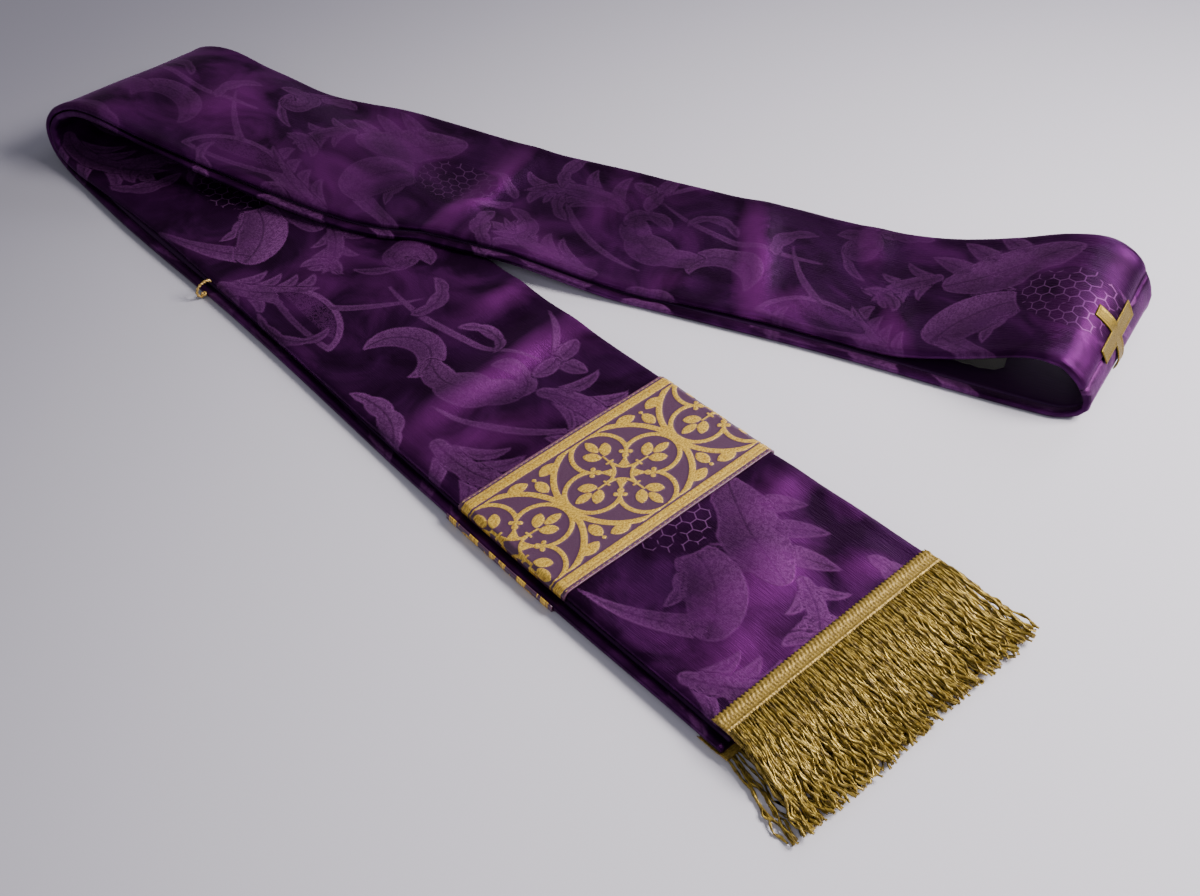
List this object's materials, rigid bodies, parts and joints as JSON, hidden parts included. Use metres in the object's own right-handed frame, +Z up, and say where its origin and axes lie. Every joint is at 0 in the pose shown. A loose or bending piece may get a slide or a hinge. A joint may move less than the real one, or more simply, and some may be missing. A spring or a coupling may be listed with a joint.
{
  "type": "clerical stole",
  "caption": "Long lined damask stole, doubled at the neck and laid flat in two crossing runs, with galloon bands, fringed ends and a small cross over the neck seam.",
  "frame": {"origin": "middle of the laid-out stole's box, on the surface that it lies on", "axes": "+X towards the neck fold along the back run, +Y towards the far side, away from the fringed ends, +Z up from the surface"},
  "size_m": [0.6408, 0.4066, 0.0436],
  "materials": {
    "damask": "figured satin damask, dark violet with a lighter matte figure",
    "lining": "plain violet satin lining",
    "galloon": "woven galloon of gold metal thread on muted purple",
    "fringe": "antique gold twisted thread",
    "cross_braid": "flat gold braid with a piped edge",
    "label": "blank woven tape",
    "cord": "twisted gold cord"
  },
  "bodies": {
    "root": {"damask_outer": "damask", "damask_inner": "damask", "lining_outer": "lining", "lining_inner": "lining", "galloon_outer": "galloon", "galloon_inner": "galloon", "fringe_header_outer": "fringe", "fringe_header_inner": "fringe", "fringe_skirt_outer": "fringe", "fringe_skirt_inner": "fringe", "neck_cross": "cross_braid", "lining_label": "label", "keeper_loop": "cord"}
  },
  "joints": []
}
